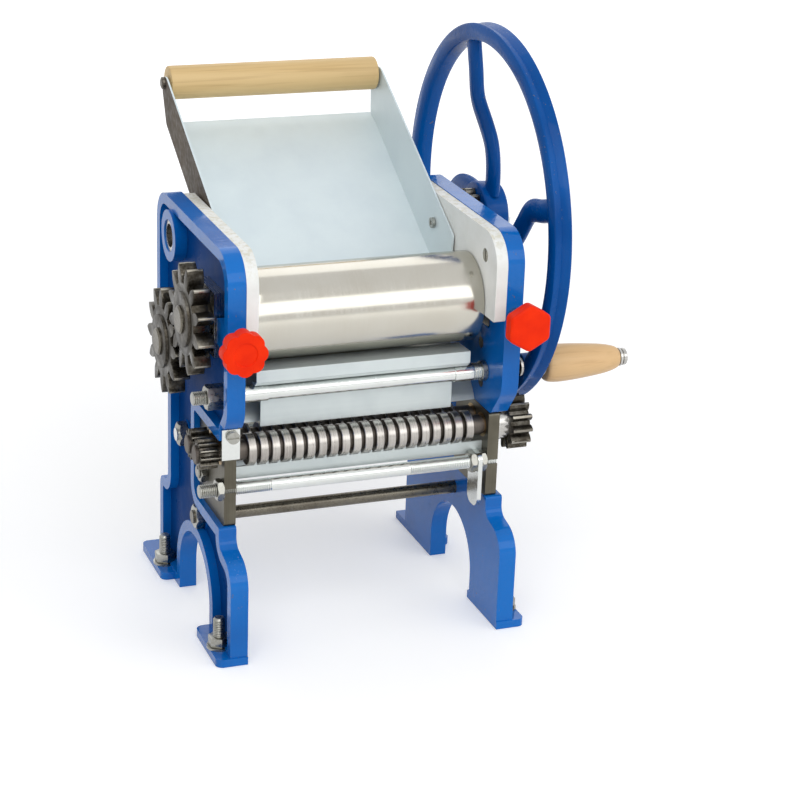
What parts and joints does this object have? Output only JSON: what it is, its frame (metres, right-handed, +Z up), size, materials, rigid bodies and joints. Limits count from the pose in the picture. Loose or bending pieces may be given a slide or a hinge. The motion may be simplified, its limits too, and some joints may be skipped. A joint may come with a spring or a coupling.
{
  "type": "hand-cranked noodle machine",
  "caption": "Hand-cranked dough sheeter and noodle cutter: blue cast side frames, steel rollers, slitting cassette, feed tray, spoked handwheel with wooden grip.",
  "frame": {"origin": "centre of the four foot bolt holes, on the floor plane", "axes": "X along the rollers toward the handwheel, Y from the front (noodle side) to the rear, Z up"},
  "size_m": [0.319, 0.2885, 0.3825],
  "materials": {
    "left_side_frame": "glossy blue hammer-free enamel on cast iron, small chips and flour marks",
    "right_side_frame": "glossy blue hammer-free enamel on cast iron, small chips and flour marks",
    "left_guard": "off-white moulded plastic, satin gloss",
    "right_guard": "off-white moulded plastic, satin gloss",
    "guard_screws": "zinc plated rod and nuts",
    "hopper_tray": "thin stainless sheet, fine brushing",
    "tray_screws": "zinc plated rod and nuts",
    "tray_roller_pin": "zinc plated rod and nuts",
    "left_roller_bush": "plain bronze bearing bush",
    "right_roller_bush": "plain bronze bearing bush",
    "crank_bush": "plain bronze bearing bush",
    "blank_bush": "turned bright steel",
    "upper_idler_stud": "turned bright steel",
    "lower_idler_stud": "turned bright steel",
    "front_tie_rod": "zinc plated rod and nuts",
    "front_rod_sleeve": "zinc plated rod and nuts",
    "lower_tie_rod": "zinc plated rod and nuts",
    "rear_tie_rod": "zinc plated rod and nuts",
    "frame_nuts": "zinc plated rod and nuts",
    "front_scraper": "galvanised sheet with a bluish cast",
    "rear_scraper": "galvanised sheet with a bluish cast",
    "dough_guide_plate": "galvanised sheet with a bluish cast",
    "cassette_left_plate": "warm grey machined plate",
    "cassette_right_plate": "warm grey machined plate",
    "cutter_bushes": "plain bronze bearing bush",
    "front_comb": "galvanised sheet with a bluish cast",
    "rear_comb": "galvanised sheet with a bluish cast",
    "right_inner_guide": "zinc plated rod and nuts",
    "cassette_front_rod": "zinc plated rod and nuts",
    "cassette_rear_rod": "zinc plated rod and nuts",
    "cassette_nuts": "zinc plated rod and nuts",
    "clip_screw": "zinc plated rod and nuts",
    "handwheel": "glossy blue enamel on cast iron",
    "crank_shaft": "turned bright steel",
    "crank_pinion": "dark oiled gear steel",
    "handwheel_nut": "zinc plated rod and nuts",
    "handle_spindle": "turned bright steel",
    "handle_grip": "varnished light wood, one small knot",
    "rear_roller": "polished steel roller",
    "rear_roller_gear": "dark oiled gear steel",
    "double_gear": "dark oiled gear steel",
    "left_bearing_block": "turned bright steel",
    "right_bearing_block": "turned bright steel",
    "front_roller": "polished steel roller",
    "front_roller_gear": "dark oiled gear steel",
    "left_adjusting_screw": "turned bright steel",
    "left_star_knob": "orange-red moulded plastic",
    "right_adjusting_screw": "turned bright steel",
    "right_hex_knob": "orange-red moulded plastic",
    "upper_idler": "dark oiled gear steel",
    "lower_idler": "dark oiled gear steel",
    "front_cutter": "machined cutter steel, brownish in the grooves",
    "front_timing_gear": "dark oiled gear steel",
    "cutter_drive_gear": "dark oiled gear steel",
    "cutter_collar": "turned bright steel",
    "rear_cutter": "machined cutter steel, brownish in the grooves",
    "rear_timing_gear": "dark oiled gear steel",
    "retaining_clip": "zinc plated rod and nuts",
    "tray_roller": "pale turned wood, light grain"
  },
  "bodies": {
    "frame": {"left_side_frame": "left_side_frame", "right_side_frame": "right_side_frame", "left_guard": "left_guard", "right_guard": "right_guard", "guard_screws": "guard_screws", "hopper_tray": "hopper_tray", "tray_screws": "tray_screws", "tray_roller_pin": "tray_roller_pin", "left_roller_bush": "left_roller_bush", "right_roller_bush": "right_roller_bush", "crank_bush": "crank_bush", "blank_bush": "blank_bush", "upper_idler_stud": "upper_idler_stud", "lower_idler_stud": "lower_idler_stud", "front_tie_rod": "front_tie_rod", "front_rod_sleeve": "front_rod_sleeve", "lower_tie_rod": "lower_tie_rod", "rear_tie_rod": "rear_tie_rod", "frame_nuts": "frame_nuts", "front_scraper": "front_scraper", "rear_scraper": "rear_scraper", "dough_guide_plate": "dough_guide_plate", "cassette_left_plate": "cassette_left_plate", "cassette_right_plate": "cassette_right_plate", "cutter_bushes": "cutter_bushes", "front_comb": "front_comb", "rear_comb": "rear_comb", "right_inner_guide": "right_inner_guide", "cassette_front_rod": "cassette_front_rod", "cassette_rear_rod": "cassette_rear_rod", "cassette_nuts": "cassette_nuts", "clip_screw": "clip_screw"},
    "crank": {"handwheel": "handwheel", "crank_shaft": "crank_shaft", "crank_pinion": "crank_pinion", "handwheel_nut": "handwheel_nut", "handle_spindle": "handle_spindle"},
    "grip": {"handle_grip": "handle_grip"},
    "rear_roll": {"rear_roller": "rear_roller", "rear_roller_gear": "rear_roller_gear", "double_gear": "double_gear"},
    "carriage": {"left_bearing_block": "left_bearing_block", "right_bearing_block": "right_bearing_block"},
    "front_roll": {"front_roller": "front_roller", "front_roller_gear": "front_roller_gear"},
    "left_adjuster": {"left_adjusting_screw": "left_adjusting_screw", "left_star_knob": "left_star_knob"},
    "right_adjuster": {"right_adjusting_screw": "right_adjusting_screw", "right_hex_knob": "right_hex_knob"},
    "upper_idler_body": {"upper_idler": "upper_idler"},
    "lower_idler_body": {"lower_idler": "lower_idler"},
    "front_cutter_roll": {"front_cutter": "front_cutter", "front_timing_gear": "front_timing_gear", "cutter_drive_gear": "cutter_drive_gear", "cutter_collar": "cutter_collar"},
    "rear_cutter_roll": {"rear_cutter": "rear_cutter", "rear_timing_gear": "rear_timing_gear"},
    "clip": {"retaining_clip": "retaining_clip"},
    "tray_roll": {"tray_roller": "tray_roller"}
  },
  "joints": [
    {"name": "crank_spin", "type": "hinge", "parent": "frame", "child": "crank", "pos_m": [0, 0.057, 0.2505], "axis": [1, 0, 0], "continuous": true},
    {"name": "grip_spin", "type": "hinge", "parent": "crank", "child": "grip", "pos_m": [0, -0.03215, 0.16795], "axis": [1, 0, 0], "continuous": true},
    {"name": "rear_roller_spin", "type": "hinge", "parent": "frame", "child": "rear_roll", "pos_m": [0, 0.0235, 0.18881], "axis": [1, 0, 0], "continuous": true},
    {"name": "front_roller_shift", "type": "slide", "parent": "frame", "child": "carriage", "axis": [0, 1, 0], "range_m": [-0.0004, 0.0026]},
    {"name": "left_knob_turn", "type": "hinge", "parent": "frame", "child": "left_adjuster", "pos_m": [-0.0955, -0.093, 0.2195], "axis": [0, 1, 0], "range_deg": [-624.1, 96.1]},
    {"name": "right_knob_turn", "type": "hinge", "parent": "frame", "child": "right_adjuster", "pos_m": [0.0955, -0.093, 0.2195], "axis": [0, 1, 0], "range_deg": [-624.1, 96.1]},
    {"name": "front_roller_spin", "type": "hinge", "parent": "carriage", "child": "front_roll", "pos_m": [0, -0.03016, 0.22182], "axis": [1, 0, 0], "continuous": true},
    {"name": "upper_idler_spin", "type": "hinge", "parent": "frame", "child": "upper_idler_body", "pos_m": [0, -0.03723, 0.19012], "axis": [1, 0, 0], "continuous": true},
    {"name": "lower_idler_spin", "type": "hinge", "parent": "frame", "child": "lower_idler_body", "pos_m": [0, -0.03984, 0.16325], "axis": [1, 0, 0], "continuous": true},
    {"name": "front_cutter_spin", "type": "hinge", "parent": "frame", "child": "front_cutter_roll", "pos_m": [0, -0.045, 0.134], "axis": [1, 0, 0], "continuous": true},
    {"name": "rear_cutter_spin", "type": "hinge", "parent": "frame", "child": "rear_cutter_roll", "pos_m": [0, -0.027, 0.134], "axis": [1, 0, 0], "continuous": true},
    {"name": "clip_swivel", "type": "hinge", "parent": "frame", "child": "clip", "pos_m": [-0.092, -0.0603, 0.1505], "axis": [0, 1, 0], "range_deg": [0, 90]},
    {"name": "tray_roller_spin", "type": "hinge", "parent": "frame", "child": "tray_roll", "pos_m": [0, 0.1535, 0.331], "axis": [1, 0, 0], "continuous": true}
  ],
  "couplings": [
    {"joint": "rear_roller_spin", "follows": "crank_spin", "ratio": -0.3},
    {"joint": "front_roller_spin", "follows": "crank_spin", "ratio": 0.3},
    {"joint": "upper_idler_spin", "follows": "crank_spin", "ratio": 1.05},
    {"joint": "lower_idler_spin", "follows": "crank_spin", "ratio": -1.05},
    {"joint": "front_cutter_spin", "follows": "crank_spin", "ratio": 0.875},
    {"joint": "rear_cutter_spin", "follows": "crank_spin", "ratio": -0.875},
    {"joint": "left_knob_turn", "follows": "front_roller_shift", "rad_per_m": -4188.8},
    {"joint": "right_knob_turn", "follows": "front_roller_shift", "rad_per_m": -4188.8}
  ]
}
